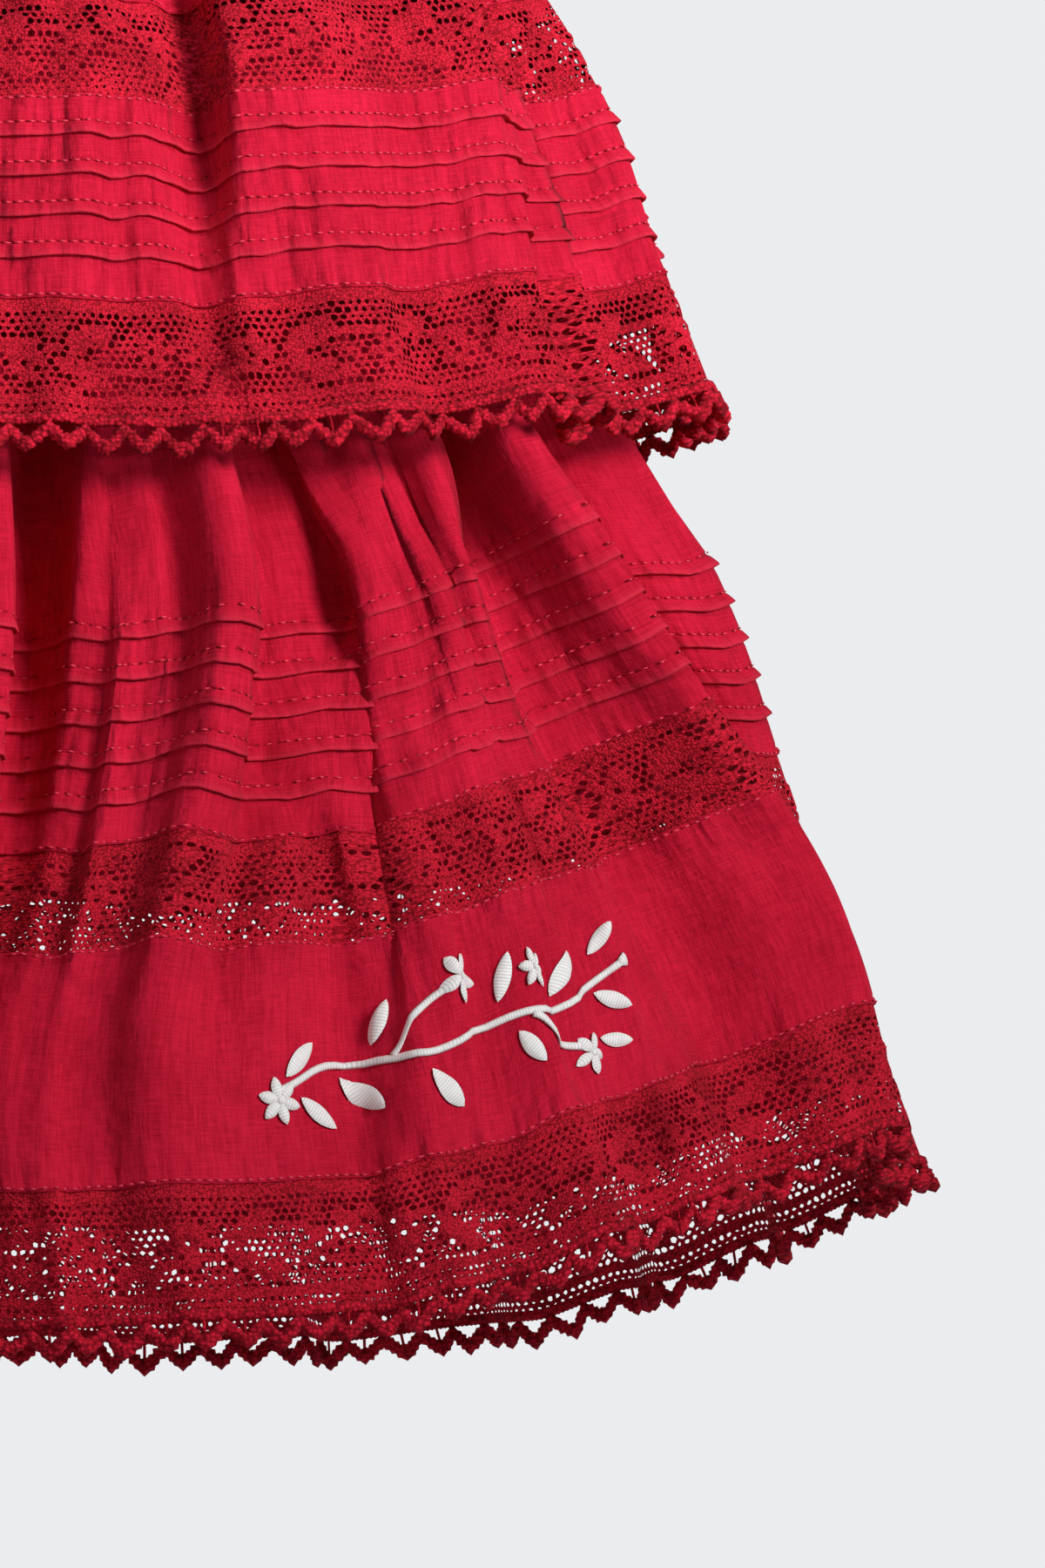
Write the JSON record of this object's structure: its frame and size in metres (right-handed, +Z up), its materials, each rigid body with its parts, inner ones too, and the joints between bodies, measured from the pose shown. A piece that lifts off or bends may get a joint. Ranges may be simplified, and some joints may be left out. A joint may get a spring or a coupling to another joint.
{
  "type": "ruffled mini skirt",
  "caption": "Red cotton mini skirt with two flared tiers, each with pintucks, let-in lace, a lace hem and picot edging.",
  "frame": {"origin": "middle of the waistband's top edge, where the body holds the skirt", "axes": "+Z up through the waist, centre front faces -Y, the wearer's left side is +X"},
  "size_m": [0.5193, 0.4139, 0.4184],
  "materials": {
    "cotton": "matt plain-weave cotton voile",
    "lace": "matt cotton lace net with woven flowers",
    "picot": "matt crocheted cotton cord"
  },
  "bodies": {
    "root": {"waistband": "cotton", "base_panel_front": "cotton", "base_panel_back": "cotton", "upper_top_panel_front": "cotton", "upper_top_panel_back": "cotton", "upper_let_in_lace_front": "lace", "upper_let_in_lace_back": "lace", "upper_tuck_panel_front": "cotton", "upper_tuck_panel_back": "cotton", "upper_hem_lace_front": "lace", "upper_hem_lace_back": "lace", "upper_picot_edging_front": "picot", "upper_picot_edging_back": "picot", "lower_tuck_panel_front": "cotton", "lower_tuck_panel_back": "cotton", "lower_let_in_lace_front": "lace", "lower_let_in_lace_back": "lace", "lower_plain_band_front": "cotton", "lower_plain_band_back": "cotton", "lower_hem_lace_front": "lace", "lower_hem_lace_back": "lace", "lower_picot_edging_front": "picot", "lower_picot_edging_back": "picot"}
  },
  "joints": []
}
